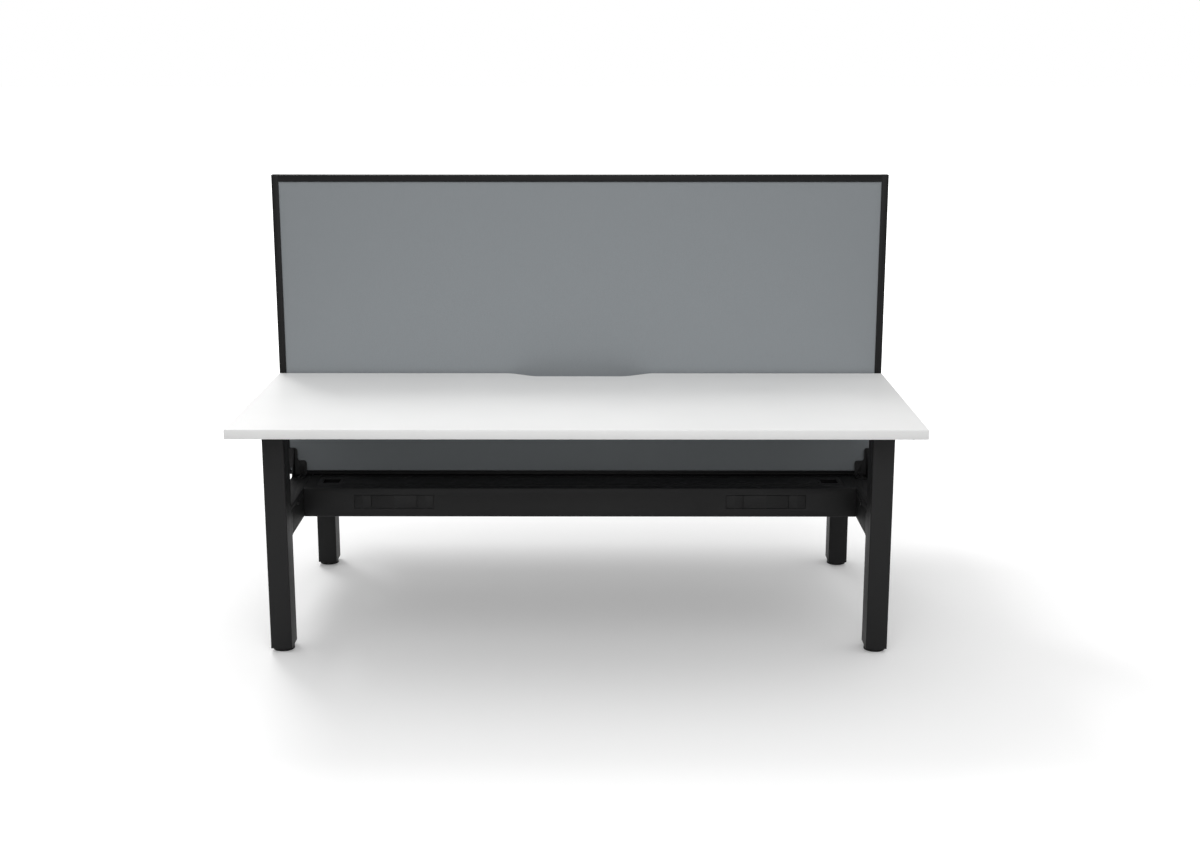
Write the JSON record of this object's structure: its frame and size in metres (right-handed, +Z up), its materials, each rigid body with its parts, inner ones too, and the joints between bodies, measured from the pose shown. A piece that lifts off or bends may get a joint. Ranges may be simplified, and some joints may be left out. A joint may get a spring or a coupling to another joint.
{
  "type": "back-to-back workstation",
  "caption": "Back-to-back office workstation: white worktops facing each other on a black steel frame, with a lidded cable tray and a tall grey fabric screen between them.",
  "frame": {"origin": "on the floor under the middle of the workstation, in the plane of the screen", "axes": "+X along the worktops to the front user's right, +Y across to the rear user, +Z up"},
  "size_m": [1.8, 1.54, 1.312],
  "materials": {
    "worktop_laminate": "matt white laminate",
    "edge_strip": "matt white",
    "powder_coat": "fine-texture black powder coat",
    "screen_frame": "black coated extrusion",
    "screen_fabric": "grey woven wool",
    "screen_core": "plain board",
    "rubber": "matt black",
    "foot_black": "satin black",
    "black_bolts": "blackened steel",
    "plain_steel": "zinc plated"
  },
  "bodies": {
    "frame": {"arm_bolts": "black_bolts", "bracket_bolts": "black_bolts", "centre_beam": "powder_coat", "crossbar_screws": "black_bolts", "front_left_arm": "powder_coat", "front_left_leg": "powder_coat", "front_right_arm": "powder_coat", "front_right_leg": "powder_coat", "front_tray_fascia": "powder_coat", "front_tray_trough": "powder_coat", "front_worktop": "worktop_laminate", "front_worktop_edging": "edge_strip", "front_worktop_rails": "powder_coat", "left_crossbar": "powder_coat", "left_crossbar_cover": "powder_coat", "left_screen_brackets": "powder_coat", "leg_foot_plates": "powder_coat", "leg_spigots": "powder_coat", "lid_hinge_brackets": "powder_coat", "lid_hinge_pins": "black_bolts", "rear_left_arm": "powder_coat", "rear_left_leg": "powder_coat", "rear_right_arm": "powder_coat", "rear_right_leg": "powder_coat", "rear_tray_fascia": "powder_coat", "rear_tray_trough": "powder_coat", "rear_worktop": "worktop_laminate", "rear_worktop_edging": "edge_strip", "rear_worktop_rails": "powder_coat", "right_crossbar": "powder_coat", "right_crossbar_cover": "powder_coat", "right_screen_brackets": "powder_coat", "screen_bottom_rail": "screen_frame", "screen_core": "screen_core", "screen_front_panel": "screen_fabric", "screen_left_post": "screen_frame", "screen_post_caps": "screen_frame", "screen_rear_panel": "screen_fabric", "screen_right_post": "screen_frame", "screen_screws": "black_bolts", "screen_top_rail": "screen_frame", "spine_bolts": "black_bolts", "tray_end_plates": "powder_coat", "worktop_pads": "rubber", "worktop_screws": "plain_steel"},
    "rear_lid": {"rear_tray_lid": "powder_coat", "rear_lid_leaves": "powder_coat"},
    "front_lid": {"front_tray_lid": "powder_coat", "front_lid_leaves": "powder_coat"},
    "rear_right_foot_pad": {"rear_right_sole": "rubber"},
    "rear_right_foot_screw": {"rear_right_foot": "foot_black"},
    "rear_left_foot_pad": {"rear_left_sole": "rubber"},
    "rear_left_foot_screw": {"rear_left_foot": "foot_black"},
    "front_right_foot_pad": {"front_right_sole": "rubber"},
    "front_right_foot_screw": {"front_right_foot": "foot_black"},
    "front_left_foot_pad": {"front_left_sole": "rubber"},
    "front_left_foot_screw": {"front_left_foot": "foot_black"}
  },
  "joints": [
    {"name": "rear_lid_hinge", "type": "hinge", "parent": "frame", "child": "rear_lid", "pos_m": [0, 0.028, 0.4055], "axis": [1, 0, 0], "range_deg": [0, 95]},
    {"name": "front_lid_hinge", "type": "hinge", "parent": "frame", "child": "front_lid", "pos_m": [0, -0.028, 0.4055], "axis": [-1, 0, 0], "range_deg": [0, 95]},
    {"name": "rear_right_foot_travel", "type": "slide", "parent": "frame", "child": "rear_right_foot_pad", "axis": [0, 0, -1], "range_m": [0, 0.0151]},
    {"name": "rear_right_foot_turn", "type": "hinge", "parent": "rear_right_foot_pad", "child": "rear_right_foot_screw", "pos_m": [0.843, 0.404, 0], "axis": [0, 0, 1], "range_deg": [0, 3600]},
    {"name": "rear_left_foot_travel", "type": "slide", "parent": "frame", "child": "rear_left_foot_pad", "axis": [0, 0, -1], "range_m": [0, 0.0151]},
    {"name": "rear_left_foot_turn", "type": "hinge", "parent": "rear_left_foot_pad", "child": "rear_left_foot_screw", "pos_m": [-0.843, 0.404, 0], "axis": [0, 0, 1], "range_deg": [0, 3600]},
    {"name": "front_right_foot_travel", "type": "slide", "parent": "frame", "child": "front_right_foot_pad", "axis": [0, 0, -1], "range_m": [0, 0.0151]},
    {"name": "front_right_foot_turn", "type": "hinge", "parent": "front_right_foot_pad", "child": "front_right_foot_screw", "pos_m": [0.843, -0.404, 0], "axis": [0, 0, 1], "range_deg": [0, 3600]},
    {"name": "front_left_foot_travel", "type": "slide", "parent": "frame", "child": "front_left_foot_pad", "axis": [0, 0, -1], "range_m": [0, 0.0151]},
    {"name": "front_left_foot_turn", "type": "hinge", "parent": "front_left_foot_pad", "child": "front_left_foot_screw", "pos_m": [-0.843, -0.404, 0], "axis": [0, 0, 1], "range_deg": [0, 3600]}
  ],
  "couplings": [
    {"joint": "rear_right_foot_travel", "follows": "rear_right_foot_turn", "m_per_rad": 0.00023873},
    {"joint": "rear_left_foot_travel", "follows": "rear_left_foot_turn", "m_per_rad": 0.00023873},
    {"joint": "front_right_foot_travel", "follows": "front_right_foot_turn", "m_per_rad": 0.00023873},
    {"joint": "front_left_foot_travel", "follows": "front_left_foot_turn", "m_per_rad": 0.00023873}
  ]
}
